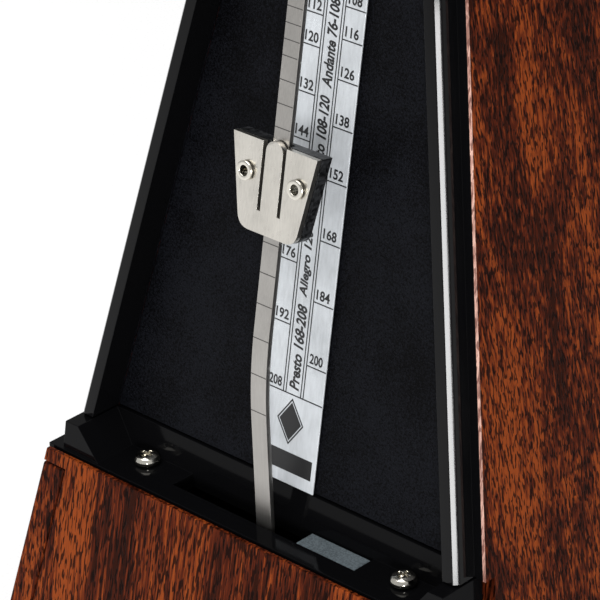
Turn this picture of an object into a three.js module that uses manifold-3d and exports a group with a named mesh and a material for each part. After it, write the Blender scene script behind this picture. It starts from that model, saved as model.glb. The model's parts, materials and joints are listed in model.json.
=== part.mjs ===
// A wind-up pyramid metronome with its front cover lifted off: wooden case, glossy bay, scale,
// pendulum with a sliding weight, and the spring-driven movement inside the lower box.
// Units are millimetres. +Z is up and the front faces -Y.
import * as THREE from "three";
import { mergeVertices } from "three/addons/utils/BufferGeometryUtils.js";
import Module from "manifold-3d";

const wasm = await Module();
wasm.setup();

// Case
const GAP = 0.3; // between pieces that touch
const FACES = 32; // sides of a round piece
const CASE_HALF = 57.5; // half width and half depth at the bottom edge
const CASE_BOTTOM = 3.3;
const CASE_TOP = 212;
const TAPER = 0.2; // every side leans in by this much for each millimetre of height
const WOOD = 5; // thickness of the side, rear and front boards
const FOOT_RADIUS = 6;
const FOOT_INSET = 11; // from the case's bottom edge to a foot's centre
const BASE_THICKNESS = 6;
const CAP_HEIGHT = 7;
const CAP_OVERHANG = 1.6;
const CAP_BEVEL = 2;

// Bay behind the missing cover
const PLATFORM_TOP = 62;
const PLATFORM_THICKNESS = 2.6;
const PLATFORM_OVERHANG = 0.7;
const FRONT_LIP = 0.8; // thickness of the front panel's upper edge, which hides the platform's edge
const LEDGE = 5.5; // height of the end blocks and the sill above the platform
const COVER_DEPTH = 7.75; // from the case's front plane to the surround's flange
const FLANGE = 1.8; // thickness
const FLANGE_LIP = 0.6; // wood edge left showing outside the flange
const RIDGE_INSET = 2.4;
const RIDGE_WIDTH = 3;
const RIDGE_RISE = 4.1;
const RIDGE_CHAMFER = 0.85;
const BAY_TOP = 204;
const PANEL_THICKNESS = 1.8;
const STRIP_HALF = 6.4;
const STRIP_THICKNESS = 0.3;
const STRIP_MARGIN = 2; // strip's end to the bay's top
const RAMP = 4.3; // run of each end block's sloping inner end
const SCREW_SPACING = 57.8;
const SCREW_HEAD = 2.2;
const SCREW_HEAD_HEIGHT = 1.4;
const SCREW_SHANK = 1.2;
const SCREW_LENGTH = 7;
const SLOT_LENGTH = 40.8;
const SLOT_WIDTH = 4.6;
const PAD_START = 7.2; // felt pad in the slot's right end, from here to the end
const PAD_THICKNESS = 1.4;
const SUPPORT = 8; // section of the blocks under the platform

// Pendulum
const ROD_WIDTH = 3.4;
const ROD_THICKNESS = 0.9;
const ROD_SETBACK = 0.45; // upper rod's middle behind the case's front plane
const ROD_INSET = 17.6; // from the case's bottom front edge to the rod's vertical stretch
const ROD_TOP = 200;
const ROD_BEND = 80; // radius
const PIVOT_Z = 48;
const BOB_RADIUS = 11.5;
const BOB_DEPTH = 15;
const BOB_INSET = 19.5; // from the case's bottom front edge to the bob's middle
const BOB_Z = 22.2;
const ARBOR_RADIUS = 1.2;
const HUB_RADIUS = 4;
const HUB_LENGTH = 3.4;
const PALLET_REACH = 3;
const PALLET_ANGLE = 50; // degrees above and below the wheel's direction
const RUNNING = 0.08; // radial clearance of a turning shaft in its hole

// Sliding weight, in its own frame: the rod's middle is the origin and the rod runs along Z
const WEIGHT_Z = 119.8; // height of its middle on the rod
const WEIGHT_TOP = 17.9;
const WEIGHT_BOTTOM = 12.1;
const WEIGHT_HEIGHT = 14.9;
const WEIGHT_DEPTH = 2.1;
const PLATE_THICKNESS = 1;
const TONGUE_WIDTH = 3.6;
const TONGUE_CUT = 0.7;
const TONGUE_LENGTH = 11.3;
const TONGUE_RISE = 0.5; // of its round tip, above the plate
const RIVET_SPACING = 10.9;
const RIVET_DROP = 5.6; // below the plate's top edge
const RIVET_RADIUS = 1.1;
const RIVET_FLANGE = 1.6;
const RIVET_BORE = 0.85;

// Movement, between two plates that stand parallel to the case's middle
const INNER_PLATE = 12; // x of its left face
const OUTER_PLATE = 34;
const PLATE = 1.6;
const PLATE_Y = [-24, 30];
const PLATE_Z = [12, 58.6];
const PILLAR_RADIUS = 2.5;
const PILLAR_INSET = 4.5;
const PINION_TEETH = 12;
const GREAT_TEETH = 60;
const GREAT_MODULE = 0.52;
const ESCAPE_PINION_TEETH = 10;
const CENTRE_TEETH = 50;
const CENTRE_MODULE = 0.45;
const BACKLASH = 0.45; // extra centre distance, in modules
const ESCAPE_Y = -13;
const CENTRE_DROP = 0.45; // slope of the line from the escape arbor to the centre arbor
const BARREL_RISE = -0.38; // slope of the line from the centre arbor to the barrel
const BARREL_STEP = 1.45; // from the great wheel's tooth roots down to the drum
const BARREL_WALL = 1;
const BARREL_LENGTH = 13;
const GREAT_WIDTH = 1.8;
const WHEEL_WIDTH = 1.3;
const PINION_WIDTH = 2.6;
const SPRING_TURNS = 7;
const SPRING_THICKNESS = 0.5;
const WINDING_RADIUS = 2.2;
const THIN_ARBOR = 1;
const CROWN_RADIUS = 9.5;
const CROWN_TEETH = 15;
const CROWN_RIM = 1.2;
const CROWN_DEPTH = 4;
const CROWN_TIP = 3.6; // x of its tooth tips
const RATCHET_RADIUS = 6;
const RATCHET_TEETH = 16;
const RATCHET_WIDTH = 1.6;
const CLICK_WIDTH = 3;
const BRIDGE = 1.5; // thickness of the pendulum's two bearing brackets
const BRIDGE_Y = [-31, 1];
const RAIL_HEIGHT = 2.4;
const RAIL_DEPTH = 6;

// Winding key
const BUSH_RADIUS = 5;
const BUSH_FLANGE = 7.5;
const KEY_HUB = 4;
const KEY_INSET = 1.9; // the key's inner end behind the case's bottom edge
const KEY_LENGTH = 22.4;
const KEY_WING = 12;
const KEY_THICKNESS = 2.6;

const keyStart = CASE_HALF - KEY_INSET;
const keyTip = keyStart + KEY_LENGTH;
const rodY = ROD_INSET - CASE_HALF;
const bobY = BOB_INSET - CASE_HALF;
const barrelRadius = (GREAT_TEETH / 2 - 1.25) * GREAT_MODULE - BARREL_STEP;
const halfWidth = (z) => CASE_HALF - TAPER * (z - CASE_BOTTOM);
const frontOf = (z) => -halfWidth(z);
const flangeY = (z) => frontOf(z) + COVER_DEPTH;
const ledgeTop = PLATFORM_TOP + LEDGE;
const platformUnder = PLATFORM_TOP - PLATFORM_THICKNESS;
const panelY = (z) => flangeY(z) + FLANGE + GAP;
const stripY = (z) => panelY(z) - GAP - 0.02;
const lean = Math.atan(TAPER);
const baseTop = CASE_BOTTOM + BASE_THICKNESS;

const finish = (color, roughness, metalness) => ({ color, roughness, metalness });
const MAHOGANY = finish("#5b2c17", 0.35, 0);
const GLOSS_BLACK = finish("#0b0b0d", 0.12, 0);
const MATT_BLACK = finish("#17181a", 0.7, 0);
const SCALE_WHITE = finish("#d9dcde", 0.45, 0.2);
const STEEL = finish("#b9b6b0", 0.3, 1);
const NICKEL = finish("#c9c6bf", 0.22, 1);
const BRASS = finish("#b58c3a", 0.3, 1);
const CAST = finish("#2a2b2c", 0.6, 0.5);
const LEAD = finish("#6d6f72", 0.6, 0.6);
const FELT = finish("#b9b9bc", 0.95, 0);
const RUBBER = finish("#161616", 0.9, 0);

const metronome = new THREE.Group();

function piece(name, geometry, { color, roughness, metalness }, parent = metronome) {
  const material = new THREE.MeshStandardMaterial({ color, roughness, metalness });
  const mesh = new THREE.Mesh(geometry, material);
  mesh.name = name;
  parent.add(mesh);
  return mesh;
}

// Booleans

function toSolid(geometry) {
  const bare = geometry.clone();
  bare.deleteAttribute("normal");
  bare.deleteAttribute("uv");
  const merged = mergeVertices(bare, 1e-4);
  return new wasm.Manifold(
    new wasm.Mesh({
      numProp: 3,
      vertProperties: merged.attributes.position.array,
      triVerts: new Uint32Array(merged.index.array),
    }),
  );
}

function fromSolid(solid) {
  const { vertProperties, triVerts } = solid.getMesh();
  const geometry = new THREE.BufferGeometry();
  geometry.setAttribute("position", new THREE.BufferAttribute(vertProperties, 3));
  geometry.setIndex(new THREE.BufferAttribute(triVerts, 1));
  geometry.computeVertexNormals();
  return geometry;
}

const add = (first, ...rest) =>
  fromSolid(rest.reduce((whole, next) => whole.add(toSolid(next)), toSolid(first)));
const cut = (first, ...rest) =>
  fromSolid(rest.reduce((whole, next) => whole.subtract(toSolid(next)), toSolid(first)));

// Basic shapes

const box = (x0, x1, y0, y1, z0, z1) =>
  new THREE.BoxGeometry(x1 - x0, y1 - y0, z1 - z0).translate(
    (x0 + x1) / 2,
    (y0 + y1) / 2,
    (z0 + z1) / 2,
  );

const barX = (radius, x0, x1, y, z, faces = FACES) =>
  new THREE.CylinderGeometry(radius, radius, x1 - x0, faces)
    .rotateZ(-Math.PI / 2)
    .translate((x0 + x1) / 2, y, z);

const barY = (radius, y0, y1, x, z, faces = FACES) =>
  new THREE.CylinderGeometry(radius, radius, y1 - y0, faces).translate(x, (y0 + y1) / 2, z);

const barZ = (radius, z0, z1, x, y, faces = FACES) =>
  new THREE.CylinderGeometry(radius, radius, z1 - z0, faces)
    .rotateX(Math.PI / 2)
    .translate(x, y, (z0 + z1) / 2);

// Joins two convex outlines with the same number of points, listed anticlockwise seen from above.
function loft(z0, z1, outline) {
  const low = outline(z0);
  const high = outline(z1);
  const count = low.length;
  const points = [...low.map(([x, y]) => [x, y, z0]), ...high.map(([x, y]) => [x, y, z1])];
  const faces = [];
  for (let i = 1; i < count - 1; i++) {
    faces.push(0, i + 1, i);
    faces.push(count, count + i, count + i + 1);
  }
  for (let i = 0; i < count; i++) {
    const next = (i + 1) % count;
    faces.push(i, next, count + next);
    faces.push(i, count + next, count + i);
  }
  const geometry = new THREE.BufferGeometry();
  geometry.setAttribute("position", new THREE.Float32BufferAttribute(points.flat(), 3));
  geometry.setIndex(faces);
  const plain = geometry.toNonIndexed();
  plain.computeVertexNormals();
  return mergeVertices(plain);
}

// A block with sloping sides: bounds(z) gives its x and y limits at each height.
const block = (z0, z1, bounds) =>
  loft(z0, z1, (z) => {
    const [x0, x1, y0, y1] = bounds(z);
    return [
      [x0, y0],
      [x1, y0],
      [x1, y1],
      [x0, y1],
    ];
  });

const mirrored = (outline) => (z) =>
  outline(z)
    .map(([x, y]) => [-x, y])
    .reverse();

// Extrudes an outline drawn in (y, z) along X, or one drawn in (z, x) along Y.
const alongX = (shape, x0, x1) =>
  new THREE.ExtrudeGeometry(shape, { depth: x1 - x0, bevelEnabled: false, curveSegments: 12 })
    .applyMatrix4(new THREE.Matrix4().set(0, 0, 1, 0, 1, 0, 0, 0, 0, 1, 0, 0, 0, 0, 0, 1))
    .translate(x0, 0, 0);
const alongY = (shape, y0, y1) =>
  new THREE.ExtrudeGeometry(shape, { depth: y1 - y0, bevelEnabled: false, curveSegments: 12 })
    .rotateX(Math.PI / 2)
    .translate(0, y1, 0);

function roundedRectangle(x0, x1, y0, y1, radius) {
  const shape = new THREE.Shape();
  shape.absarc(x1 - radius, y1 - radius, radius, 0, Math.PI / 2);
  shape.absarc(x0 + radius, y1 - radius, radius, Math.PI / 2, Math.PI);
  shape.absarc(x0 + radius, y0 + radius, radius, Math.PI, Math.PI * 1.5);
  shape.absarc(x1 - radius, y0 + radius, radius, Math.PI * 1.5, Math.PI * 2);
  shape.closePath();
  return shape;
}

function gearShape(teeth, module, turn = 0) {
  const pitch = (teeth * module) / 2;
  const root = pitch - 1.25 * module;
  const tip = pitch + module;
  const step = (2 * Math.PI) / teeth;
  const points = [];
  for (let i = 0; i < teeth; i++) {
    for (const [share, radius] of [
      [-0.28, root],
      [-0.11, tip],
      [0.11, tip],
      [0.28, root],
    ]) {
      const angle = turn + (i + share) * step;
      points.push(new THREE.Vector2(radius * Math.cos(angle), radius * Math.sin(angle)));
    }
  }
  return new THREE.Shape(points);
}

const gear = (teeth, module, x0, x1, [y, z], turn) =>
  alongX(gearShape(teeth, module, turn), x0, x1).translate(0, y, z);

// Case

function addFeet() {
  const reach = CASE_HALF - FOOT_INSET;
  for (const [name, x, y] of [
    ["foot_front_left", -reach, -reach],
    ["foot_front_right", reach, -reach],
    ["foot_rear_left", -reach, reach],
    ["foot_rear_right", reach, reach],
  ]) {
    piece(name, barZ(FOOT_RADIUS, 0, CASE_BOTTOM - GAP, x, y), RUBBER);
  }
}

function addBoards() {
  const inside = (z) => halfWidth(z) - WOOD - GAP;
  const base = block(CASE_BOTTOM, baseTop, (z) => [-inside(z), inside(z), -inside(z), inside(z)]);
  piece("base_board", base, MAHOGANY);

  const step = block(platformUnder - GAP, CASE_TOP + 1, (z) => [
    -CASE_HALF,
    CASE_HALF,
    -CASE_HALF - 1,
    flangeY(z) + FLANGE + GAP,
  ]);
  const left = block(CASE_BOTTOM, CASE_TOP, (z) => [
    -halfWidth(z),
    -halfWidth(z) + WOOD,
    -halfWidth(z),
    halfWidth(z),
  ]);
  const right = block(CASE_BOTTOM, CASE_TOP, (z) => [
    halfWidth(z) - WOOD,
    halfWidth(z),
    -halfWidth(z),
    halfWidth(z),
  ]);
  const keyBore = barX(BUSH_RADIUS + GAP, CASE_HALF / 2, CASE_HALF + 2, ...barrelAxis);
  piece("left_side_panel", cut(left, step), MAHOGANY);
  piece("right_side_panel", cut(right, step, keyBore), MAHOGANY);

  const rear = block(CASE_BOTTOM, CASE_TOP, (z) => [
    -inside(z),
    inside(z),
    halfWidth(z) - WOOD,
    halfWidth(z),
  ]);
  piece("rear_panel", rear, MAHOGANY);

  const front = block(CASE_BOTTOM, platformUnder - GAP, (z) => [
    -inside(z),
    inside(z),
    frontOf(z),
    frontOf(z) + WOOD,
  ]);
  const root = block(platformUnder - GAP - 0.5, platformUnder + 0.1, (z) => [
    -inside(z),
    inside(z),
    frontOf(z),
    frontOf(z) + FRONT_LIP,
  ]);
  const lip = block(platformUnder, PLATFORM_TOP - GAP, (z) => [
    -halfWidth(z),
    halfWidth(z),
    frontOf(z),
    frontOf(z) + FRONT_LIP,
  ]);
  piece("lower_front_panel", add(front, root, lip), MAHOGANY);
}

function addCap() {
  const reach = halfWidth(CASE_TOP) + CAP_OVERHANG;
  const low = CASE_TOP + GAP;
  const bevelStart = low + CAP_HEIGHT - CAP_BEVEL;
  const slab = box(-reach, reach, -reach, reach, low, bevelStart);
  const bevel = block(bevelStart - 0.01, low + CAP_HEIGHT, (z) => {
    const edge = reach - Math.max(0, z - bevelStart);
    return [-edge, edge, -edge, edge];
  });
  piece("top_cap", add(slab, bevel), MAHOGANY);
}

// Bay

function addSurround() {
  const low = ledgeTop + GAP;
  const stile = (z) => {
    const outer = halfWidth(z) - RIDGE_INSET;
    const inner = outer - RIDGE_WIDTH;
    const front = flangeY(z) - RIDGE_RISE;
    const rear = flangeY(z) + FLANGE;
    return [
      [inner, front],
      [outer - RIDGE_CHAMFER, front],
      [outer, front + RIDGE_CHAMFER],
      [outer, rear],
      [inner, rear],
    ];
  };
  const flange = (z) => [
    [halfWidth(z) - RIDGE_INSET - 0.5, flangeY(z)],
    [halfWidth(z) - FLANGE_LIP, flangeY(z)],
    [halfWidth(z) - FLANGE_LIP, flangeY(z) + FLANGE],
    [halfWidth(z) - RIDGE_INSET - 0.5, flangeY(z) + FLANGE],
  ];
  const rail = block(BAY_TOP, CASE_TOP, (z) => [
    -halfWidth(z) + RIDGE_INSET + RIDGE_WIDTH / 2,
    halfWidth(z) - RIDGE_INSET - RIDGE_WIDTH / 2,
    flangeY(z) - RIDGE_RISE,
    flangeY(z) + FLANGE,
  ]);
  const sides = [stile, mirrored(stile), flange, mirrored(flange)].map((outline) =>
    loft(low, CASE_TOP, outline),
  );
  piece("bay_surround", add(rail, ...sides), GLOSS_BLACK);
}

function addBackPanel() {
  const panel = block(ledgeTop + GAP, BAY_TOP, (z) => [
    -halfWidth(z) + WOOD + GAP,
    halfWidth(z) - WOOD - GAP,
    panelY(z),
    panelY(z) + PANEL_THICKNESS,
  ]);
  piece("back_panel", panel, MATT_BLACK);
  const strip = block(ledgeTop + GAP, BAY_TOP - STRIP_MARGIN, (z) => [
    -STRIP_HALF,
    STRIP_HALF,
    stripY(z) - STRIP_THICKNESS,
    stripY(z),
  ]);
  piece("scale_strip", strip, SCALE_WHITE);
}

// The slot lies below the surround's front edge, where the rod comes up through it.
const slotFront = flangeY(ledgeTop) - RIDGE_RISE + 0.2;
const slotRear = slotFront + SLOT_WIDTH;
const screwY = (slotFront + slotRear) / 2;

function addPlatform() {
  const reach = halfWidth(PLATFORM_TOP) + PLATFORM_OVERHANG;
  const inner = halfWidth(PLATFORM_TOP) - WOOD - GAP;
  const front = frontOf(PLATFORM_TOP) + FRONT_LIP + GAP;
  const rear = flangeY(platformUnder - GAP) + FLANGE;
  const shelf = box(-reach, reach, front, rear, platformUnder, PLATFORM_TOP);
  const tail = box(-inner, inner, front + 1, panelY(ledgeTop) + 4, platformUnder, PLATFORM_TOP);
  const sill = block(PLATFORM_TOP - 0.5, ledgeTop, (z) => [
    -inner + 1,
    inner - 1,
    panelY(z) - GAP,
    panelY(z) + PANEL_THICKNESS,
  ]);
  const end = (z) => {
    const rise = (z - PLATFORM_TOP) / LEDGE;
    const inside = halfWidth(ledgeTop) - RIDGE_INSET - RIDGE_WIDTH - RAMP * (1 - rise);
    return [
      [inside, front + 0.4],
      [halfWidth(z) - RIDGE_INSET, front + 0.4],
      [halfWidth(z) - RIDGE_INSET, flangeY(z) + FLANGE],
      [inside, flangeY(z) + FLANGE],
    ];
  };
  const ends = [end, mirrored(end)].map((outline) => loft(PLATFORM_TOP - 0.2, ledgeTop, outline));
  const slot = box(
    -SLOT_LENGTH / 2,
    SLOT_LENGTH / 2,
    slotFront,
    slotRear,
    platformUnder - 1,
    ledgeTop,
  );
  const screwHoles = [-1, 1].map((side) =>
    barZ(SCREW_SHANK + GAP, platformUnder - 1, ledgeTop, (side * SCREW_SPACING) / 2, screwY),
  );
  piece("platform", cut(add(shelf, tail, sill, ...ends), slot, ...screwHoles), GLOSS_BLACK);
}

function addSlotPad() {
  const top = PLATFORM_TOP - GAP;
  const end = SLOT_LENGTH / 2 - GAP;
  const pad = box(PAD_START, end, slotFront + GAP, slotRear - GAP, top - PAD_THICKNESS, top);
  piece("slot_pad", pad, FELT);
}

function addPlatformScrew(name, x) {
  const low = PLATFORM_TOP + GAP;
  const crown = new THREE.LatheGeometry(
    [
      new THREE.Vector2(0, low - SCREW_LENGTH),
      new THREE.Vector2(SCREW_SHANK, low - SCREW_LENGTH + 1),
      new THREE.Vector2(SCREW_SHANK, low),
      new THREE.Vector2(SCREW_HEAD, low),
      new THREE.Vector2(SCREW_HEAD, low + SCREW_HEAD_HEIGHT * 0.4),
      new THREE.Vector2(SCREW_HEAD * 0.85, low + SCREW_HEAD_HEIGHT * 0.8),
      new THREE.Vector2(SCREW_HEAD * 0.5, low + SCREW_HEAD_HEIGHT),
      new THREE.Vector2(0, low + SCREW_HEAD_HEIGHT),
    ],
    FACES,
  )
    .rotateX(Math.PI / 2)
    .translate(x, screwY, 0);
  const bar = [SCREW_HEAD * 0.5, SCREW_HEAD * 0.14];
  const top = low + SCREW_HEAD_HEIGHT;
  const cross = bar.map((long, i) =>
    box(x - long, x + long, screwY - bar[1 - i], screwY + bar[1 - i], top - 0.7, top + 1),
  );
  piece(name, cut(crown, ...cross), NICKEL);
}

function addSupport(name, x) {
  const top = platformUnder - GAP;
  const front = frontOf(top) + WOOD + GAP;
  const blockAt = box(x - SUPPORT / 2, x + SUPPORT / 2, front, front + SUPPORT, top - SUPPORT, top);
  const hole = barZ(SCREW_SHANK + GAP, top - SUPPORT + 1, top + 1, x, screwY);
  piece(name, cut(blockAt, hole), MAHOGANY);
}

function addRodCatch() {
  const z = ROD_TOP - 9;
  const back = panelY(z) - 0.5;
  const reach = 3.6;
  const foot = box(-4.6, -2.6, back - 1.2, back - 0.2, z - 3, z + 3);
  const arm = box(-4.6, -3.6, back - reach, back - 0.2, z - 3, z + 3);
  piece("rod_catch", add(foot, arm).translate(STRIP_HALF * -1, 0, 0), STEEL);
}

// Pendulum

function rodShape() {
  const upper = (z) => frontOf(z) + ROD_SETBACK;
  const meet = CASE_BOTTOM + (CASE_HALF + rodY - ROD_SETBACK) / TAPER;
  const tangent = ROD_BEND * Math.tan(lean / 2);
  const half = ROD_THICKNESS / 2;
  const centreY = rodY + ROD_BEND;
  const centreZ = meet - tangent;
  const shift = half / Math.cos(lean);
  const shape = new THREE.Shape();
  shape.moveTo(rodY - half, BOB_Z - BOB_RADIUS + 1);
  shape.lineTo(rodY + half, BOB_Z - BOB_RADIUS + 1);
  shape.absarc(centreY, centreZ, ROD_BEND - half, Math.PI, Math.PI - lean, true);
  shape.lineTo(upper(ROD_TOP) + shift, ROD_TOP);
  shape.lineTo(upper(ROD_TOP) - shift, ROD_TOP);
  shape.absarc(centreY, centreZ, ROD_BEND + half, Math.PI - lean, Math.PI, false);
  shape.closePath();
  return shape;
}

function addPendulum() {
  piece("pendulum_rod", alongX(rodShape(), -ROD_WIDTH / 2, ROD_WIDTH / 2), STEEL);

  const bob = barY(BOB_RADIUS, bobY - BOB_DEPTH / 2, bobY + BOB_DEPTH / 2, 0, BOB_Z);
  const rodSlot = box(
    -ROD_WIDTH / 2 - GAP,
    ROD_WIDTH / 2 + GAP,
    rodY - ROD_THICKNESS / 2 - GAP,
    rodY + ROD_THICKNESS / 2 + GAP,
    BOB_Z - BOB_RADIUS + 1 - GAP,
    BOB_Z + BOB_RADIUS + 1,
  );
  piece("fixed_bob", cut(bob, rodSlot), LEAD);

  const hubFront = rodY + ROD_THICKNESS / 2 + GAP;
  const hub = barY(HUB_RADIUS, hubFront, hubFront + HUB_LENGTH, 0, PIVOT_Z);
  const hubBore = barY(ARBOR_RADIUS + RUNNING, hubFront + 0.6, hubFront + HUB_LENGTH + 1, 0, PIVOT_Z);
  piece("rod_hub", cut(hub, hubBore), BRASS);
  const arborRear = BRIDGE_Y[1] + BRIDGE + 2;
  const arbor = barY(ARBOR_RADIUS, hubFront + 0.6 + GAP, arborRear, 0, PIVOT_Z);
  piece("pendulum_arbor", arbor, STEEL);

  for (const [name, side] of [
    ["front_pallet", -1],
    ["rear_pallet", 1],
  ]) {
    const y = ESCAPE_Y + side * (CROWN_RADIUS - CROWN_RIM / 2);
    const collar = barY(ARBOR_RADIUS + 0.7, y - 1.1, y + 1.1, 0, PIVOT_Z);
    const angle = THREE.MathUtils.degToRad(-side * PALLET_ANGLE);
    const flag = box(ARBOR_RADIUS + 0.2, PALLET_REACH, y - 1.1, y + 1.1, -0.35, 0.35)
      .rotateY(angle)
      .translate(0, 0, PIVOT_Z);
    const bore = barY(ARBOR_RADIUS + RUNNING, y - 2, y + 2, 0, PIVOT_Z);
    piece(name, cut(add(collar, flag), bore), STEEL);
  }
}

function addWeight() {
  const weight = new THREE.Group();
  weight.position.set(0, frontOf(WEIGHT_Z) + ROD_SETBACK, WEIGHT_Z);
  weight.rotation.x = -lean;
  metronome.add(weight);

  const half = WEIGHT_HEIGHT / 2;
  const outline = (round) => {
    const side = new THREE.Vector2(WEIGHT_TOP / 2 - WEIGHT_BOTTOM / 2, WEIGHT_HEIGHT).normalize();
    const shape = new THREE.Shape();
    shape.moveTo(-WEIGHT_TOP / 2, half);
    shape.lineTo(-WEIGHT_BOTTOM / 2 - side.x * round, -half + side.y * round);
    shape.quadraticCurveTo(-WEIGHT_BOTTOM / 2, -half, -WEIGHT_BOTTOM / 2 + round, -half);
    shape.lineTo(WEIGHT_BOTTOM / 2 - round, -half);
    shape.quadraticCurveTo(
      WEIGHT_BOTTOM / 2,
      -half,
      WEIGHT_BOTTOM / 2 + side.x * round,
      -half + side.y * round,
    );
    shape.lineTo(WEIGHT_TOP / 2, half);
    shape.closePath();
    return shape;
  };
  const rivetHole = (side, radius) =>
    barY(radius, -10, 10, (side * RIVET_SPACING) / 2, half - RIVET_DROP);
  const castFront = -ROD_THICKNESS / 2;
  const castRear = castFront + WEIGHT_DEPTH;
  const channel = box(
    -ROD_WIDTH / 2 - GAP,
    ROD_WIDTH / 2 + GAP,
    castFront - 1,
    ROD_THICKNESS / 2 + GAP,
    -half - 1,
    half + 1,
  );
  const bores = [-1, 1].map((side) => rivetHole(side, RIVET_RADIUS + GAP));
  const casting = cut(alongY(outline(2), castFront, castRear), channel, ...bores);
  piece("weight_body", casting, CAST, weight);

  const plateRear = castFront - GAP;
  const plateFront = plateRear - PLATE_THICKNESS;
  const plate = alongY(outline(2.2), plateFront, plateRear);
  const tipZ = half + TONGUE_RISE - TONGUE_WIDTH / 2;
  const tip = barY(TONGUE_WIDTH / 2, plateFront, plateRear, 0, tipZ);
  const cutX = TONGUE_WIDTH / 2 + TONGUE_CUT / 2;
  const aboveTip = box(-cutX, cutX, plateFront - 1, plateRear + 1, tipZ, half + 3);
  const cuts = [-1, 1].map((side) =>
    box(
      side * cutX - TONGUE_CUT / 2,
      side * cutX + TONGUE_CUT / 2,
      plateFront - 1,
      plateRear + 1,
      half - TONGUE_LENGTH,
      half + 3,
    ),
  );
  const tongued = add(cut(plate, aboveTip), tip);
  piece("weight_plate", cut(tongued, ...cuts, ...bores), NICKEL, weight);

  for (const [name, side] of [
    ["weight_rivet_left", -1],
    ["weight_rivet_right", 1],
  ]) {
    const x = (side * RIVET_SPACING) / 2;
    const z = half - RIVET_DROP;
    const tube = barY(RIVET_RADIUS, plateFront - GAP - 0.1, castRear, x, z);
    const flange = barY(RIVET_FLANGE, plateFront - GAP - 0.4, plateFront - GAP, x, z);
    piece(name, cut(add(tube, flange), rivetHole(side, RIVET_BORE)), NICKEL, weight);
  }
}

// Movement

const meshDistance = (a, b, module) => ((a + b) / 2 + BACKLASH) * module;
const along = ([y, z], distance, dy, dz) => {
  const length = Math.hypot(dy, dz);
  return [y + (distance * dy) / length, z + (distance * dz) / length];
};
const escapeAxis = [ESCAPE_Y, PIVOT_Z];
const centreAxis = along(
  escapeAxis,
  meshDistance(CENTRE_TEETH, ESCAPE_PINION_TEETH, CENTRE_MODULE),
  CENTRE_DROP,
  -1,
);
const barrelAxis = along(
  centreAxis,
  meshDistance(GREAT_TEETH, PINION_TEETH, GREAT_MODULE),
  1,
  BARREL_RISE,
);
const plateInside = [INNER_PLATE + PLATE, OUTER_PLATE];
const greatX = plateInside[0] + 2;
const barrelX = greatX + GREAT_WIDTH;
const centreX = OUTER_PLATE - WHEEL_WIDTH - 1;
const clickPivot = [barrelAxis[0] - 1, barrelAxis[1] + RATCHET_RADIUS + CLICK_WIDTH];

// Turns the second gear so that one of its gaps faces the first gear's tooth.
function meshTurn(teeth, module, turn, [y, z], [otherY, otherZ], otherTeeth) {
  const direction = Math.atan2(otherZ - z, otherY - y);
  const phase = ((direction - turn) * teeth) / (2 * Math.PI);
  return direction + Math.PI + ((phase + 0.5) * 2 * Math.PI) / otherTeeth;
}

function addPlates() {
  const outline = () => roundedRectangle(PLATE_Y[0], PLATE_Y[1], PLATE_Z[0], PLATE_Z[1], 4);
  const corners = [
    ["pillar_front_low", PLATE_Y[0] + PILLAR_INSET, PLATE_Z[0] + PILLAR_INSET],
    ["pillar_rear_low", PLATE_Y[1] - PILLAR_INSET, PLATE_Z[0] + PILLAR_INSET],
    ["pillar_front_high", PLATE_Y[0] + PILLAR_INSET, PLATE_Z[1] - PILLAR_INSET],
    ["pillar_rear_high", PLATE_Y[1] - PILLAR_INSET, PLATE_Z[1] - PILLAR_INSET],
  ];
  const holes = (x, radii) =>
    [barrelAxis, centreAxis, escapeAxis].map(([y, z], i) =>
      barX(radii[i] + RUNNING, x - 1, x + PLATE + 1, y, z),
    );
  const radii = [WINDING_RADIUS, THIN_ARBOR, THIN_ARBOR];
  const inner = alongX(outline(), INNER_PLATE, INNER_PLATE + PLATE);
  const outer = alongX(outline(), OUTER_PLATE, OUTER_PLATE + PLATE);
  const clickHole = barX(1 + RUNNING, OUTER_PLATE - 1, OUTER_PLATE + PLATE + 1, ...clickPivot);
  piece("inner_plate", cut(inner, ...holes(INNER_PLATE, radii)), BRASS);
  piece("outer_plate", cut(outer, ...holes(OUTER_PLATE, radii), clickHole), BRASS);
  for (const [name, y, z] of corners) {
    piece(name, barX(PILLAR_RADIUS, plateInside[0] + GAP, plateInside[1] - GAP, y, z), BRASS);
  }
  for (const [name, y] of [
    ["front_mount_rail", PLATE_Y[0] + 8],
    ["rear_mount_rail", PLATE_Y[1] - 8],
  ]) {
    const low = baseTop + GAP;
    const rail = box(
      INNER_PLATE - 2,
      OUTER_PLATE + PLATE + 2,
      y - RAIL_DEPTH / 2,
      y + RAIL_DEPTH / 2,
      low,
      PLATE_Z[0] - GAP,
    );
    piece(name, rail, STEEL);
  }
}

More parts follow.
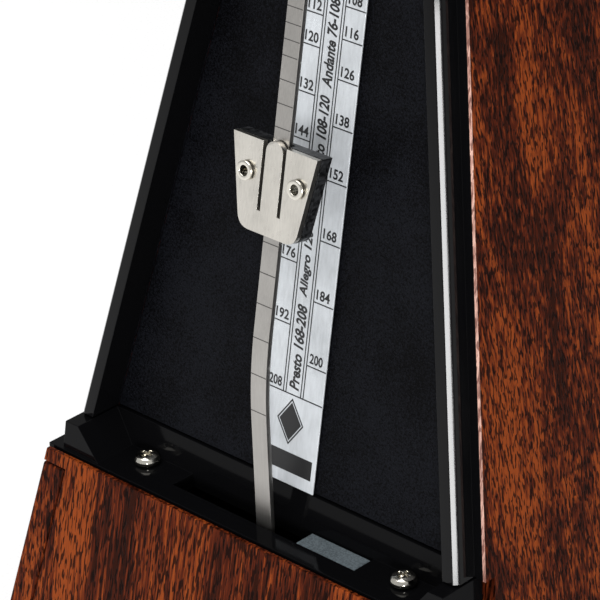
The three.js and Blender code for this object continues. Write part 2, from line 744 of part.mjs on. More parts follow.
function addBarrel() {
  const end = barrelX + BARREL_LENGTH;
  const rim = gear(GREAT_TEETH, GREAT_MODULE, greatX, barrelX, barrelAxis, 0);
  const drum = barX(barrelRadius, greatX + 0.5, end, ...barrelAxis);
  const hollow = barX(barrelRadius - BARREL_WALL, barrelX, end + 1, ...barrelAxis);
  const bore = barX(WINDING_RADIUS + RUNNING, greatX - 1, end + 1, ...barrelAxis);
  piece("mainspring_barrel", cut(add(rim, drum), hollow, bore), BRASS);

  const inside = barrelRadius - BARREL_WALL - GAP;
  const cover = barX(inside, end - 1, end, ...barrelAxis);
  piece("barrel_cover", cut(cover, barX(WINDING_RADIUS + RUNNING, end - 2, end + 1, ...barrelAxis)), BRASS);

  const coil = new THREE.Shape();
  const steps = SPRING_TURNS * 20;
  const start = WINDING_RADIUS + 0.6;
  const grow = (inside - GAP - start - SPRING_THICKNESS) / steps;
  const at = (i, extra) => {
    const radius = start + grow * i + extra;
    const angle = (i / 20) * 2 * Math.PI;
    return [radius * Math.cos(angle), radius * Math.sin(angle)];
  };
  coil.moveTo(...at(0, 0));
  for (let i = 1; i <= steps; i++) coil.lineTo(...at(i, 0));
  for (let i = steps; i >= 0; i--) coil.lineTo(...at(i, SPRING_THICKNESS));
  coil.closePath();
  const spring = alongX(coil, barrelX + GAP, end - 1 - GAP).translate(0, ...barrelAxis);
  piece("mainspring", spring, STEEL);
}

function addTrain() {
  const direction = Math.atan2(barrelAxis[1] - centreAxis[1], barrelAxis[0] - centreAxis[0]);
  const pinionTurn = meshTurn(GREAT_TEETH, GREAT_MODULE, 0, barrelAxis, centreAxis, PINION_TEETH);
  const pinion = gear(
    PINION_TEETH,
    GREAT_MODULE,
    greatX - 0.3,
    greatX - 0.3 + PINION_WIDTH,
    centreAxis,
    pinionTurn,
  );
  const rear = plateInside[0] - 0.9;
  const front = OUTER_PLATE + 1;
  piece("centre_arbor", add(pinion, barX(THIN_ARBOR, rear, front, ...centreAxis)), STEEL);

  const wheel = gear(CENTRE_TEETH, CENTRE_MODULE, centreX, centreX + WHEEL_WIDTH, centreAxis, direction);
  const windows = [0, 1, 2, 3, 4].map((i) => {
    const angle = direction + (i * 2 * Math.PI) / 5;
    const y = centreAxis[0] + 6 * Math.cos(angle);
    const z = centreAxis[1] + 6 * Math.sin(angle);
    return barX(2.4, centreX - 1, centreX + WHEEL_WIDTH + 1, y, z, 20);
  });
  const bore = barX(THIN_ARBOR + RUNNING, centreX - 1, centreX + WHEEL_WIDTH + 1, ...centreAxis);
  piece("centre_wheel", cut(wheel, bore, ...windows), BRASS);

  const escapeTurn = meshTurn(
    CENTRE_TEETH,
    CENTRE_MODULE,
    direction,
    centreAxis,
    escapeAxis,
    ESCAPE_PINION_TEETH,
  );
  const escapePinion = gear(
    ESCAPE_PINION_TEETH,
    CENTRE_MODULE,
    centreX - 0.6,
    centreX - 0.6 + PINION_WIDTH,
    escapeAxis,
    escapeTurn,
  );
  const crownBack = CROWN_TIP + CROWN_DEPTH;
  const arbor = barX(THIN_ARBOR, crownBack - 0.5, front, ...escapeAxis);
  piece("escape_arbor", add(escapePinion, arbor), STEEL);

  const cup = barX(CROWN_RADIUS, CROWN_TIP + 1.3, crownBack, ...escapeAxis);
  const hollow = barX(CROWN_RADIUS - CROWN_RIM, CROWN_TIP - 1, crownBack - 1, ...escapeAxis);
  const teeth = Array.from({ length: CROWN_TEETH }, (_, i) => {
    const tooth = new THREE.Shape();
    tooth.moveTo(-0.9, CROWN_TIP + 1.6);
    tooth.lineTo(0.9, CROWN_TIP + 1.6);
    tooth.lineTo(0.9, CROWN_TIP);
    tooth.lineTo(0.5, CROWN_TIP);
    tooth.closePath();
    return new THREE.ExtrudeGeometry(tooth, { depth: CROWN_RIM - 0.1, bevelEnabled: false })
      .applyMatrix4(new THREE.Matrix4().set(0, 1, 0, 0, 1, 0, 0, 0, 0, 0, -1, 0, 0, 0, 0, 1))
      .translate(0, 0, CROWN_RADIUS - 0.05)
      .rotateX((i * 2 * Math.PI) / CROWN_TEETH)
      .translate(0, ...escapeAxis);
  });
  const crownBore = barX(THIN_ARBOR + RUNNING, crownBack - 3, crownBack + 1, ...escapeAxis);
  piece("escape_wheel", cut(add(cut(cup, hollow), ...teeth), crownBore), BRASS);
}

function addWinding() {
  const arborEnd = keyTip - 14;
  piece("winding_arbor", barX(WINDING_RADIUS, plateInside[0] - 0.9, arborEnd, ...barrelAxis), STEEL);

  const ratchetX = OUTER_PLATE + PLATE + 0.6;
  const points = [];
  for (let i = 0; i < RATCHET_TEETH; i++) {
    for (const [share, radius] of [
      [0, RATCHET_RADIUS],
      [0.08, RATCHET_RADIUS - 1.2],
    ]) {
      const angle = ((i + share) * 2 * Math.PI) / RATCHET_TEETH;
      points.push(new THREE.Vector2(radius * Math.cos(angle), radius * Math.sin(angle)));
    }
  }
  const ratchet = alongX(new THREE.Shape(points), ratchetX, ratchetX + RATCHET_WIDTH);
  const bore = barX(WINDING_RADIUS + RUNNING, ratchetX - 1, ratchetX + RATCHET_WIDTH + 1, 0, 0);
  piece("ratchet_wheel", cut(ratchet, bore).translate(0, ...barrelAxis), STEEL);

  const [pivotY, pivotZ] = clickPivot;
  const click = new THREE.Shape();
  const tipY = barrelAxis[0] + RATCHET_RADIUS * 0.75;
  const tipZ = barrelAxis[1] + RATCHET_RADIUS * 0.75 + 0.7;
  click.moveTo(pivotY - 1.9, pivotZ - 1.5);
  click.lineTo(pivotY - 1.9, pivotZ + 1.6);
  click.lineTo(tipY - 0.6, pivotZ + 1.4);
  click.lineTo(tipY + 0.9, tipZ + 1.2);
  click.lineTo(tipY, tipZ);
  click.lineTo(pivotY + 2.2, pivotZ - 0.9);
  click.closePath();
  const clickX = ratchetX + 0.1;
  const body = alongX(click, clickX, clickX + RATCHET_WIDTH - 0.2);
  const pin = barX(1, OUTER_PLATE + 0.4, clickX + 0.2, ...clickPivot);
  piece("click", add(body, pin), STEEL);

  const spring = box(
    clickX,
    clickX + 1.2,
    pivotY - 9,
    pivotY + 3,
    pivotZ + 1.6 + GAP,
    pivotZ + 1.6 + GAP + 0.5,
  );
  const anchor = box(
    OUTER_PLATE + PLATE + GAP,
    clickX + 1.2,
    pivotY - 9,
    pivotY - 6.5,
    pivotZ + 0.2,
    pivotZ + 4,
  );
  piece("click_spring", add(spring, anchor), STEEL);
}

function addBridges() {
  for (const [name, y, toward] of [
    ["front_bridge", BRIDGE_Y[0], 1],
    ["rear_bridge", BRIDGE_Y[1], 1],
  ]) {
    const right = INNER_PLATE - GAP;
    const web = box(-4, right, y, y + BRIDGE, PIVOT_Z - 4, PIVOT_Z + 4);
    const foot = box(right - BRIDGE, right, y, y + toward * 9, PIVOT_Z - 4, PIVOT_Z + 4);
    const bore = barY(ARBOR_RADIUS + RUNNING, y - 1, y + BRIDGE + 1, 0, PIVOT_Z);
    piece(name, cut(add(web, foot), bore), BRASS);
  }
}

function addKey() {
  const [y, z] = barrelAxis;
  const tube = barX(BUSH_RADIUS, CASE_HALF - 12, keyStart - GAP, y, z);
  const flange = barX(BUSH_FLANGE, keyStart - GAP - 1.1, keyStart - GAP, y, z);
  const bore = barX(WINDING_RADIUS + RUNNING, CASE_HALF - 13, keyStart + 1, y, z);
  piece("key_bushing", cut(add(tube, flange), bore), NICKEL);

  const hub = barX(KEY_HUB, keyStart, keyTip - 11, y, z);
  const middle = keyTip - 8;
  const lobe = (side) =>
    new THREE.CylinderGeometry(1, 1, KEY_THICKNESS, FACES)
      .scale(8, 1, KEY_WING / 2 + 1)
      .translate(middle, y, z + (side * KEY_WING) / 2);
  const eye = (side) =>
    barY(3, y - KEY_THICKNESS, y + KEY_THICKNESS, middle + 1, z + side * (KEY_WING / 2 + 1.2), 24);
  const keyBore = barX(WINDING_RADIUS + RUNNING, keyStart - 1, keyTip - 13.6, y, z);
  const key = cut(add(hub, lobe(1), lobe(-1)), keyBore, eye(1), eye(-1));
  piece("winding_key", key, NICKEL);
}

addFeet();
addBoards();
addCap();
addSurround();
addBackPanel();
addPlatform();
addSlotPad();
addPlatformScrew("platform_screw_left", -SCREW_SPACING / 2);
addPlatformScrew("platform_screw_right", SCREW_SPACING / 2);
addSupport("platform_support_left", -SCREW_SPACING / 2);
addSupport("platform_support_right", SCREW_SPACING / 2);
addRodCatch();
addPendulum();
addWeight();
addPlates();
addBarrel();
addTrain();
addWinding();
addBridges();
addKey();

// The origin is the middle of the bounding box's bottom; the key reaches past the case on the right.
metronome.position.x = -(keyTip - CASE_HALF) / 2;
const root = new THREE.Group();
root.add(metronome);

export default root;
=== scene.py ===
"""Finishes, printed scale, markings and studio for a wooden pyramid metronome, cover removed."""

import json
import logging
import math
from dataclasses import dataclass, field
from enum import Enum

import bmesh
import bpy
from mathutils import Matrix, Vector


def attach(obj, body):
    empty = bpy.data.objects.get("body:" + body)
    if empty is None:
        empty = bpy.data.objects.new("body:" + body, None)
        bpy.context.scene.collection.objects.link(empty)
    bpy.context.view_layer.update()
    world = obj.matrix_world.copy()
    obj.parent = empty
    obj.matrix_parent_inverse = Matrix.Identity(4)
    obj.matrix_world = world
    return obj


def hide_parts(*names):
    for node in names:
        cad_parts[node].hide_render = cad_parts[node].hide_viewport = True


log = logging.getLogger("metronome")

MM = 0.001
# What a node's input takes: a value, an output, or a node whose first output feeds it
NodeValue = object
# A mix node has its sockets once for each data type: these are the ones for colours
MIX_SHARE, MIX_FIRST, MIX_SECOND, MIX_RESULT = 0, 6, 7, 2
# Points of a CAD node nearer than this are one point
MERGE_MM = 0.004
# Faces that turn by less than this are one flat face
FLAT_DEG = 0.6
# Edges that turn by more than this are broken
SHARP_DEG = 28.0
# Edges that still turn by more than this after that stay crisp
CRISP_DEG = 32.0


class Grain(Enum):
    """Which way a board's fibres run, as a direction in the part's frame."""

    FRONT = (0.02, 0.2, 1.0)
    SIDE = (0.0, 0.06, 1.0)
    REAR = (0.0, -0.2, 1.0)
    ACROSS = (1.0, 0.0, 0.0)


class Column(Enum):
    """The two number columns of the tempo scale."""

    LEFT = -1
    RIGHT = 1


# Sizes shared by the sub-assemblies


@dataclass(frozen=True)
class CaseSizes:
    """The case's taper and the planes of its bay, in millimetres."""

    middle_x: float = -10.25
    half: float = 57.5
    bottom: float = 3.3
    top: float = 212.0
    taper: float = 0.2
    cover_depth: float = 7.75
    flange: float = 1.8
    platform: float = 62.0
    ledge: float = 67.5
    strip_half: float = 6.4
    strip_gap: float = 0.02
    strip_thickness: float = 0.3
    rod_setback: float = 0.45
    rod_thickness: float = 0.9
    rod_width: float = 3.4
    rod_y: float = -39.9
    rod_bend: float = 80.0

    def half_width(self, z: float) -> float:
        """Half width of the case at height z."""
        return self.half - self.taper * (z - self.bottom)

    def flange_y(self, z: float) -> float:
        """Front face of the surround's flange at height z."""
        return -self.half_width(z) + self.cover_depth

    def strip_y(self, z: float) -> float:
        """Printed face of the scale strip at height z."""
        return self.flange_y(z) + self.flange - self.strip_gap - self.strip_thickness

    def rod_front(self, z: float) -> tuple[float, float]:
        """Where the rod's front face is at height z, and how far the rod leans back there.

        Args:
            z: height in millimetres.

        Returns:
            Its y in millimetres and its lean in radians.
        """
        lean = math.atan(self.taper)
        meet = self.bottom + (self.half + self.rod_y - self.rod_setback) / self.taper
        start = meet - self.rod_bend * math.tan(lean / 2)
        radius = self.rod_bend + self.rod_thickness / 2
        if z <= start:
            return self.rod_y - self.rod_thickness / 2, 0.0
        if z < start + radius * math.sin(lean):
            turn = math.asin((z - start) / radius)
            return self.rod_y + self.rod_bend - radius * math.cos(turn), turn
        thick = self.rod_thickness / 2 * math.hypot(1.0, self.taper)
        return -self.half_width(z) + self.rod_setback - thick, lean


SIZES = CaseSizes()


def point(x: float, y: float, z: float) -> Vector:
    """A point given from the case's middle in millimetres, in the part's frame in metres."""
    return Vector((x + SIZES.middle_x, y, z)) * MM


# Node helpers


def linear(hex_code: str) -> tuple[float, float, float, float]:
    """Turns an sRGB hex colour into linear values.

    Args:
        hex_code: six hex digits after a hash sign.

    Returns:
        Linear red, green and blue, and an alpha of one.
    """
    channels = [int(hex_code[i : i + 2], 16) / 255 for i in (1, 3, 5)]
    values = [c / 12.92 if c <= 0.04045 else ((c + 0.055) / 1.055) ** 2.4 for c in channels]
    return (values[0], values[1], values[2], 1.0)


def add_node(
    tree: bpy.types.NodeTree,
    kind: str,
    inputs: dict[str | int, NodeValue] | None = None,
    stops: tuple[tuple[float, str], ...] = (),
    **settings: object,
) -> bpy.types.Node:
    """Adds a node with its settings, values and links.

    Args:
        tree: the tree it goes in.
        kind: the node's type name.
        inputs: by socket name or number, what it takes.
        stops: position and hex colour of each stop of a colour ramp.
        settings: the node's own properties.

    Returns:
        The new node.
    """
    node = tree.nodes.new(kind)
    for name, value in settings.items():
        setattr(node, name, value)
    for key, value in (inputs or {}).items():
        source = value.outputs[0] if isinstance(value, bpy.types.Node) else value
        if isinstance(source, bpy.types.NodeSocket):
            tree.links.new(source, node.inputs[key])
        else:
            node.inputs[key].default_value = source
    if stops:
        elements = node.color_ramp.elements
        while len(elements) < len(stops):
            elements.new(0.5)
        for element, (position, code) in zip(elements, stops):
            element.position = position
            element.color = linear(code)
    return node


def pattern(
    tree: bpy.types.NodeTree,
    place: NodeValue,
    across_mm: tuple[float, float, float],
    detail: float = 2.0,
    wander: float = 0.0,
) -> bpy.types.Node:
    """An irregular pattern whose features have a real size.

    Args:
        tree: the material's tree.
        place: coordinates in metres.
        across_mm: feature size along X, Y and Z.
        detail: octaves of finer features.
        wander: how far features stray.

    Returns:
        The node whose first output is the pattern.
    """
    scale = tuple(1.0 / (MM * size) for size in across_mm)
    mapping = add_node(tree, "ShaderNodeMapping", {"Vector": place, "Scale": scale})
    return add_node(
        tree,
        "ShaderNodeTexNoise",
        {"Vector": mapping, "Scale": 1.0, "Detail": detail, "Distortion": wander},
    )


# Finishes


@dataclass(frozen=True)
class Finish:
    """A finish: what its surface is made of, and how its shader is set."""

    name: str
    roughness: float = 0.4
    metallic: float = 0.0
    specular: float = 0.5

    def build(self) -> bpy.types.Material:
        """Makes the material.

        Returns:
            The finished material.
        """
        material = bpy.data.materials.new(self.name)
        material.use_nodes = True
        tree = material.node_tree
        shader = tree.nodes["Principled BSDF"]
        shader.inputs["Roughness"].default_value = self.roughness
        shader.inputs["Metallic"].default_value = self.metallic
        shader.inputs["Specular IOR Level"].default_value = self.specular
        coordinates = add_node(tree, "ShaderNodeTexCoord").outputs["Object"]
        self.dress(tree, shader, coordinates)
        return material

    def dress(
        self,
        tree: bpy.types.NodeTree,
        shader: bpy.types.Node,
        place: bpy.types.NodeSocket,
    ) -> None:
        """Adds the finish's own pattern; the plain finish has none."""

    def vary_gloss(
        self,
        tree: bpy.types.NodeTree,
        shader: bpy.types.Node,
        unevenness: bpy.types.Node,
        spread: float,
    ) -> None:
        """Spreads the roughness about its middle.

        Args:
            tree: the material's tree.
            shader: what takes the roughness.
            unevenness: the pattern that varies it.
            spread: how far apart its ends are.
        """
        level = add_node(
            tree,
            "ShaderNodeMath",
            {0: unevenness, 1: spread, 2: self.roughness - spread / 2},
            operation="MULTIPLY_ADD",
        )
        tree.links.new(level.outputs[0], shader.inputs["Roughness"])

    @staticmethod
    def shade(
        tree: bpy.types.NodeTree,
        shader: bpy.types.Node,
        colour: str,
        greys: bpy.types.Node,
        share: float,
    ) -> None:
        """Darkens a colour in places.

        Args:
            tree: the material's tree.
            shader: what takes the colour.
            colour: its hex code.
            greys: the ramp that darkens it.
            share: how strongly the greys count.
        """
        mixed = add_node(
            tree,
            "ShaderNodeMix",
            {MIX_SHARE: share, MIX_FIRST: linear(colour), MIX_SECOND: greys},
            data_type="RGBA",
            blend_type="MULTIPLY",
        )
        tree.links.new(mixed.outputs[MIX_RESULT], shader.inputs["Base Color"])

    @staticmethod
    def bump(
        tree: bpy.types.NodeTree,
        shader: bpy.types.Node,
        height: bpy.types.Node,
        depth_mm: float,
        strength: float = 1.0,
    ) -> None:
        """Raises the surface by a pattern.

        Args:
            tree: the material's tree.
            shader: what takes the raised surface.
            height: the pattern.
            depth_mm: how deep it is.
            strength: how much of it shows.
        """
        node = add_node(
            tree,
            "ShaderNodeBump",
            {"Height": height, "Distance": depth_mm * MM, "Strength": strength},
        )
        tree.links.new(node.outputs["Normal"], shader.inputs["Normal"])


@dataclass(frozen=True)
class Mahogany(Finish):
    """Varnished mahogany: broad colour bands, fine fibres and short dark open pores."""

    grain: Grain = Grain.SIDE
    dark: str = "#240b04"
    middle: str = "#46190a"
    light: str = "#783614"
    pore: str = "#080201"
    band_mm: tuple[float, float, float] = (7.0, 7.0, 70.0)
    fibre_mm: tuple[float, float, float] = (0.6, 0.6, 10.0)
    pore_mm: tuple[float, float, float] = (0.36, 0.36, 2.4)
    pore_strength: float = 0.86
    relief_mm: float = 0.05

    def dress(
        self,
        tree: bpy.types.NodeTree,
        shader: bpy.types.Node,
        place: bpy.types.NodeSocket,
    ) -> None:
        """Lays bands, fibres and pores along the board's grain, coarse enough to show."""
        turn = Vector(self.grain.value).rotation_difference(Vector((0, 0, 1))).to_euler()
        along = add_node(tree, "ShaderNodeMapping", {"Vector": place, "Rotation": tuple(turn)})
        bands = pattern(tree, along, self.band_mm, 3.0, 0.6)
        fibres = pattern(tree, along, self.fibre_mm, 3.0)
        pores = pattern(tree, along, self.pore_mm, 1.0)
        halves = [
            add_node(tree, "ShaderNodeMath", {0: part, 1: 0.5}, operation="MULTIPLY")
            for part in (bands, fibres)
        ]
        tone = add_node(tree, "ShaderNodeMath", dict(enumerate(halves)), operation="ADD")
        colours = ((0.42, self.dark), (0.5, self.middle), (0.6, self.light))
        wood = add_node(tree, "ShaderNodeValToRGB", {"Fac": tone}, colours)
        edges = ((0.52, "#000000"), (0.57, "#ffffff"))
        mask = add_node(tree, "ShaderNodeValToRGB", {"Fac": pores}, edges)
        amount = add_node(
            tree, "ShaderNodeMath", {0: mask, 1: self.pore_strength}, operation="MULTIPLY"
        )
        mixed = add_node(
            tree,
            "ShaderNodeMix",
            {MIX_SHARE: amount, MIX_FIRST: wood, MIX_SECOND: linear(self.pore)},
            data_type="RGBA",
        )
        tree.links.new(mixed.outputs[MIX_RESULT], shader.inputs["Base Color"])
        relief = add_node(tree, "ShaderNodeMath", {0: fibres, 1: mask}, operation="SUBTRACT")
        self.bump(tree, shader, relief, self.relief_mm, strength=0.5)


@dataclass(frozen=True)
class Lacquer(Finish):
    """Polished black lacquer: a mirror gloss with a faint orange peel and haze."""

    colour: str = "#070708"
    peel_mm: float = 2.6
    peel_depth_mm: float = 0.004
    haze_mm: float = 14.0
    haze_spread: float = 0.08

    def dress(
        self,
        tree: bpy.types.NodeTree,
        shader: bpy.types.Node,
        place: bpy.types.NodeSocket,
    ) -> None:
        """Adds orange peel and a slight change of gloss."""
        shader.inputs["Base Color"].default_value = linear(self.colour)
        peel = pattern(tree, place, (self.peel_mm,) * 3, 1.0)
        haze = pattern(tree, place, (self.haze_mm,) * 3, 3.0)
        self.vary_gloss(tree, shader, haze, self.haze_spread)
        self.bump(tree, shader, peel, self.peel_depth_mm, strength=0.35)


@dataclass(frozen=True)
class Crinkle(Finish):
    """A matt pebbled skin, such as powder coat, crinkle paint, felt or rubber."""

    grain_mm: float = 0.34
    cloud_mm: float = 12.0
    depth_mm: float = 0.07
    low: str = "#030304"
    high: str = "#0e0f13"

    def dress(
        self,
        tree: bpy.types.NodeTree,
        shader: bpy.types.Node,
        place: bpy.types.NodeSocket,
    ) -> None:
        """Adds the pebbles, coarse enough to show."""
        pebbles = pattern(tree, place, (self.grain_mm,) * 3)
        clouds = pattern(tree, place, (self.cloud_mm,) * 3)
        lifted = add_node(tree, "ShaderNodeMath", {0: clouds, 1: 0.5}, operation="ADD")
        tone = add_node(tree, "ShaderNodeMath", {0: pebbles, 1: lifted}, operation="MULTIPLY")
        stops = ((0.35, self.low), (0.62, self.high))
        colour = add_node(tree, "ShaderNodeValToRGB", {"Fac": tone}, stops)
        tree.links.new(colour.outputs["Color"], shader.inputs["Base Color"])
        self.bump(tree, shader, pebbles, self.depth_mm)


@dataclass(frozen=True)
class Brushed(Finish):
    """Metal with strokes or grains of a given size over a faintly uneven plate."""

    colour: str = "#b8b3ab"
    stroke_mm: tuple[float, float, float] = (0.16, 0.16, 14.0)
    stroke_share: float = 0.6
    stain_mm: tuple[float, float, float] = (7.0, 7.0, 9.0)
    stain_share: float = 0.35
    depth_mm: float = 0.006
    spread: float = 0.16

    def dress(
        self,
        tree: bpy.types.NodeTree,
        shader: bpy.types.Node,
        place: bpy.types.NodeSocket,
    ) -> None:
        """Adds strokes to the gloss, the colour and the surface."""
        strokes = pattern(tree, place, self.stroke_mm)
        stains = pattern(tree, place, self.stain_mm, 3.0)
        self.vary_gloss(tree, shader, strokes, self.spread)
        faint = add_node(tree, "ShaderNodeMath", {0: strokes, 1: self.stroke_share}, operation="MULTIPLY")
        tone = add_node(tree, "ShaderNodeMath", {0: faint, 1: stains}, operation="ADD")
        stops = ((0.5, "#8c8c8c"), (1.0, "#ffffff"))
        greys = add_node(tree, "ShaderNodeValToRGB", {"Fac": tone}, stops)
        self.shade(tree, shader, self.colour, greys, self.stain_share)
        self.bump(tree, shader, strokes, self.depth_mm, strength=0.6)


@dataclass(frozen=True)
class Print(Finish):
    """Screen-printed ink or coating: even colour with a slightly broken gloss."""

    colour: str = "#101012"
    mottle_mm: float = 0.6
    mottle_share: float = 0.12
    depth_mm: float = 0.004

    def dress(
        self,
        tree: bpy.types.NodeTree,
        shader: bpy.types.Node,
        place: bpy.types.NodeSocket,
    ) -> None:
        """Adds a fine mottle."""
        mottle = pattern(tree, place, (self.mottle_mm,) * 3)
        stops = ((0.3, "#808080"), (0.7, "#ffffff"))
        greys = add_node(tree, "ShaderNodeValToRGB", {"Fac": mottle}, stops)
        self.shade(tree, shader, self.colour, greys, self.mottle_share)
        self.bump(tree, shader, mottle, self.depth_mm, strength=0.4)


@dataclass
class Palette:
    """Every material of the metronome, made once."""

    front_wood: bpy.types.Material = field(init=False)
    side_wood: bpy.types.Material = field(init=False)
    rear_wood: bpy.types.Material = field(init=False)
    cap_wood: bpy.types.Material = field(init=False)
    edge_wood: bpy.types.Material = field(init=False)
    lacquer: bpy.types.Material = field(init=False)
    tray: bpy.types.Material = field(init=False)
    powder: bpy.types.Material = field(init=False)
    casting: bpy.types.Material = field(init=False)
    scale: bpy.types.Material = field(init=False)
    ink: bpy.types.Material = field(init=False)
    engraving: bpy.types.Material = field(init=False)
    steel: bpy.types.Material = field(init=False)
    plate: bpy.types.Material = field(init=False)
    nickel: bpy.types.Material = field(init=False)
    brass: bpy.types.Material = field(init=False)
    lead: bpy.types.Material = field(init=False)
    rubber: bpy.types.Material = field(init=False)
    felt: bpy.types.Material = field(init=False)

    def __post_init__(self) -> None:
        """Builds each finish."""
        # satin varnish: deep red-brown with dark pores and hardly any shine
        self.front_wood, self.side_wood, self.rear_wood, self.cap_wood = (
            Mahogany(f"varnished mahogany, {face}", 0.3, specular=0.03, grain=grain).build()
            for face, grain in (
                ("front", Grain.FRONT),
                ("side", Grain.SIDE),
                ("rear", Grain.REAR),
                ("cap", Grain.ACROSS),
            )
        )
        # bare veneer: a thin pale pinkish line beside the black bay
        self.edge_wood = Mahogany(
            "bare veneer edge",
            0.5,
            dark="#8d6458",
            middle="#b58a7c",
            light="#d3ab9b",
            pore="#6b443a",
        ).build()
        # polished lacquer: dark, with sharp reflections along the mouldings
        self.lacquer = Lacquer("polished black lacquer", 0.06, specular=0.13).build()
        # the moulded tray: almost pure black, with only weak reflections
        self.tray = Lacquer("black moulded tray", 0.09, specular=0.05).build()
        # powder coat: matt, faintly speckled blue-black
        self.powder = Crinkle("black powder coat", 0.5, specular=0.04).build()
        # crinkle paint: coarse black skin with glints
        self.casting = Crinkle(
            "black crinkle paint", 0.35, grain_mm=0.7, depth_mm=0.16, high="#2a2b2d"
        ).build()
        # anodised sheet: pale, even, with faint lengthwise strokes
        self.scale = Brushed(
            "satin silver-white anodised aluminium",
            0.42,
            0.25,
            colour="#c3c7cb",
            stroke_mm=(0.5, 0.5, 30.0),
            depth_mm=0.001,
            spread=0.06,
        ).build()
        # ink and engraving: flat dark marks
        self.ink = Print("black screen-print ink", 0.45, colour="#0c0c0e").build()
        self.engraving = Print("blackened engraving", 0.6, colour="#3a3836").build()
        # spring steel: neutral grey, finely streaked along its length
        self.steel = Brushed("brushed spring steel", 0.34, 1.0, colour="#aba8a4").build()
        # satin nickel: warm pale grey with a soft upright sheen
        self.plate = Brushed(
            "satin nickel plate",
            0.3,
            1.0,
            colour="#d6d2ca",
            stroke_mm=(0.3, 0.3, 9.0),
            depth_mm=0.004,
        ).build()
        # bright nickel: small sharp highlights on screws, rivets and key
        self.nickel = Brushed(
            "bright nickel plate",
            0.13,
            1.0,
            colour="#dcd8ce",
            stroke_mm=(2.0, 2.0, 2.0),
            depth_mm=0.002,
            spread=0.08,
        ).build()
        # satin brass: soft yellow with broad highlights
        self.brass = Brushed("satin brass", 0.28, 1.0, colour="#c79d4e").build()
        # bare casting: dull grey with a rough skin
        self.lead = Brushed(
            "bare cast metal",
            0.55,
            1.0,
            colour="#77797c",
            stroke_mm=(0.8, 0.8, 0.8),
            depth_mm=0.05,
        ).build()
        # felt and rubber: hardly any shine
        self.felt = Crinkle(
            "slate grey felt", 0.9, grain_mm=0.3, depth_mm=0.03, low="#3b4347", high="#525b60"
        ).build()
        self.rubber = Crinkle("black rubber", 0.8, grain_mm=0.9, depth_mm=0.03).build()


# Mesh helpers


def new_object(name: str, mesh: bpy.types.Mesh) -> bpy.types.Object:
    """Puts a mesh into the scene as an object at the origin."""
    obj = bpy.data.objects.new(name, mesh)
    bpy.context.scene.collection.objects.link(obj)
    return obj


def paint_over(obj: bpy.types.Object, material: bpy.types.Material) -> None:
    """Gives an object one material in place of those it has."""
    obj.data.materials.clear()
    obj.data.materials.append(material)


def finish_piece(
    obj: bpy.types.Object, body: str, slot: str, material: bpy.types.Material, *nodes: str
) -> None:
    """Finishes a piece.

    Args:
        obj: the piece.
        body: the body it rides on.
        slot: the record's material slot; not used.
        material: its finish.
        nodes: the CAD nodes it stands for.
    """
    paint_over(obj, material)
    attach(obj, body)
    if nodes:
        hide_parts(*nodes)
    log.info("%s: %d faces on %s", obj.name, len(obj.data.polygons), body)


def softened(
    node: bpy.types.Object,
    name: str,
    edge_mm: float,
    steps: int = 2,
    sharp_deg: float = SHARP_DEG,
) -> bpy.types.Object:
    """A copy of a CAD node with its sharp edges broken.

    Args:
        node: the CAD node to copy.
        name: the new piece's name.
        edge_mm: width of the broken edge.
        steps: segments across it.
        sharp_deg: edges turning by more than this are broken.

    Returns:
        The new object.
    """
    mesh = bpy.data.meshes.new(name)
    work = bmesh.new()
    work.from_mesh(node.data)
    bmesh.ops.remove_doubles(work, verts=work.verts, dist=MERGE_MM * MM)
    bmesh.ops.dissolve_limit(
        work, angle_limit=math.radians(FLAT_DEG), verts=work.verts, edges=work.edges
    )
    least = math.radians(sharp_deg)
    sharp = [e for e in work.edges if len(e.link_faces) == 2 and e.calc_face_angle(0) > least]
    bmesh.ops.bevel(
        work,
        geom=sharp,
        offset=edge_mm * MM,
        offset_type="OFFSET",
        segments=steps,
        profile=0.5,
        affect="EDGES",
        clamp_overlap=True,
    )
    bmesh.ops.triangulate(work, faces=[f for f in work.faces if len(f.verts) > 4])
    work.to_mesh(mesh)
    work.free()
    mesh.shade_smooth()
    mesh.set_sharp_from_angle(angle=math.radians(CRISP_DEG))
    obj = new_object(name, mesh)
    flat = obj.modifiers.new("flat faces stay flat", "WEIGHTED_NORMAL")
    flat.mode = "FACE_AREA"
    flat.weight = 100
    flat.keep_sharp = True
    return obj


@dataclass(frozen=True)
class Dressing:
    """How one CAD node is finished: its piece's name, broken edge, slot and material."""

    node: str
    name: str
    edge_mm: float
    slot: str
    material: bpy.types.Material
    steps: int = 2
    sharp_deg: float = SHARP_DEG

    def apply(self, nodes: dict[str, bpy.types.Object], body: str) -> None:
        """Makes the piece from its node and lets it ride on a body."""
        piece = softened(nodes[self.node], self.name, self.edge_mm, self.steps, self.sharp_deg)
        finish_piece(piece, body, self.slot, self.material, self.node)


def prism(name: str, low: list[Vector], high: list[Vector]) -> bpy.types.Object:
    """A closed solid between two outlines with the same number of points.

    Args:
        name: the object's name.
        low: the first outline.
        high: the second outline.

    Returns:
        The new object, facing out.
    """
    work = bmesh.new()
    first = [work.verts.new(p) for p in low]
    second = [work.verts.new(p) for p in high]
    work.faces.new(first)
    work.faces.new(second)
    for i, vertex in enumerate(first):
        after = (i + 1) % len(first)
        work.faces.new((vertex, first[after], second[after], second[i]))
    bmesh.ops.recalc_face_normals(work, faces=work.faces)
    mesh = bpy.data.meshes.new(name)
    work.to_mesh(mesh)
    work.free()
    return new_object(name, mesh)


def joined(name: str, parts: list[bpy.types.Object]) -> bpy.types.Object:
    """Joins objects at the origin into one mesh object and removes them."""
    work = bmesh.new()
    for part in parts:
        work.from_mesh(part.data)
        bpy.data.objects.remove(part)
    mesh = bpy.data.meshes.new(name)
    work.to_mesh(mesh)
    work.free()
    return new_object(name, mesh)


